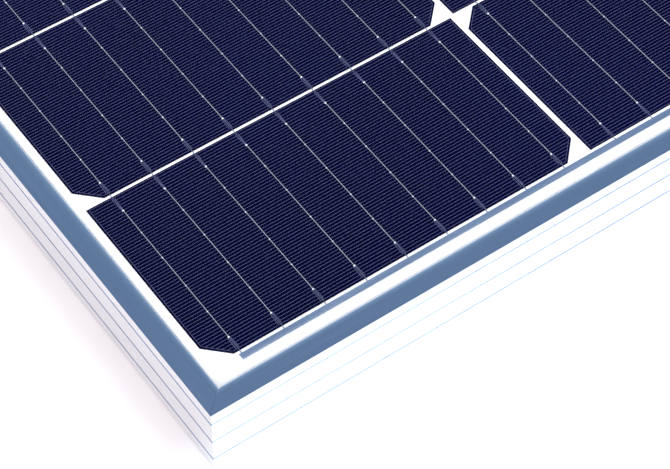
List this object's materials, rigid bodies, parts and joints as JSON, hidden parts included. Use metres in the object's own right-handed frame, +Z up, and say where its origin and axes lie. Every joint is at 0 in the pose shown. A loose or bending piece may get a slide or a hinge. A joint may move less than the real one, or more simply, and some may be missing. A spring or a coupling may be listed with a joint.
{
  "type": "framed solar module",
  "caption": "Rectangular solar panel in an aluminium frame: blue-black half-cut cells with silver wires under glass, junction boxes behind.",
  "frame": {"origin": "centre of the plane that the frame's feet stand on", "axes": "+X along the long side, +Y along the short side, +Z up through the glass"},
  "size_m": [1.755, 1.037, 0.032],
  "materials": {
    "frame": "anodised aluminium, fine satin",
    "corner_key": "extruded, plain",
    "sealant": "cured silicone",
    "glass": "low-iron tempered, smooth",
    "film": "clear encapsulant film",
    "rear_film": "white encapsulant film",
    "backsheet": "white laminate, satin",
    "cell": "dark blue silicon with printed silver lines",
    "cell_wire": "tinned copper, bright",
    "bus_ribbon": "tinned copper, satin",
    "box_housing": "black moulded, fine texture",
    "box_lid": "black moulded, fine texture",
    "gasket": "dark grey silicone",
    "terminal": "tinned copper plate",
    "diode": "black moulded body",
    "gland_nut": "black moulded, ribbed"
  },
  "bodies": {
    "root": {"rail_long_left": "frame", "rail_long_right": "frame", "rail_short_front": "frame", "rail_short_rear": "frame", "corner_keys": "corner_key", "edge_sealant": "sealant", "front_glass": "glass", "front_film": "film", "rear_film": "rear_film", "backsheet": "backsheet", "cell_string_1a": "cell", "cell_string_2a": "cell", "cell_string_3a": "cell", "cell_string_4a": "cell", "cell_string_5a": "cell", "cell_string_6a": "cell", "cell_string_1b": "cell", "cell_string_2b": "cell", "cell_string_3b": "cell", "cell_string_4b": "cell", "cell_string_5b": "cell", "cell_string_6b": "cell", "wires_1a": "cell_wire", "wires_2a": "cell_wire", "wires_3a": "cell_wire", "wires_4a": "cell_wire", "wires_5a": "cell_wire", "wires_6a": "cell_wire", "wires_1b": "cell_wire", "wires_2b": "cell_wire", "wires_3b": "cell_wire", "wires_4b": "cell_wire", "wires_5b": "cell_wire", "wires_6b": "cell_wire", "end_bus_a": "bus_ribbon", "end_bus_b": "bus_ribbon", "centre_bus_a": "bus_ribbon", "centre_bus_b": "bus_ribbon", "lead_out_ribbons": "bus_ribbon", "box_glue": "sealant", "box_1_housing": "box_housing", "box_2_housing": "box_housing", "box_3_housing": "box_housing", "box_1_gasket": "gasket", "box_2_gasket": "gasket", "box_3_gasket": "gasket", "box_1_terminals": "terminal", "box_2_terminals": "terminal", "box_3_terminals": "terminal", "box_1_diode": "diode", "box_2_diode": "diode", "box_3_diode": "diode", "box_1_gland_nut": "gland_nut", "box_3_gland_nut": "gland_nut", "gland_seals": "gasket"},
    "lid_1": {"box_1_lid": "box_lid"},
    "lid_2": {"box_2_lid": "box_lid"},
    "lid_3": {"box_3_lid": "box_lid"}
  },
  "joints": [
    {"name": "lid_1_off", "type": "slide", "parent": "root", "child": "lid_1", "axis": [0, 0, -1], "range_m": [0, 0.007]},
    {"name": "lid_2_off", "type": "slide", "parent": "root", "child": "lid_2", "axis": [0, 0, -1], "range_m": [0, 0.007]},
    {"name": "lid_3_off", "type": "slide", "parent": "root", "child": "lid_3", "axis": [0, 0, -1], "range_m": [0, 0.007]}
  ]
}
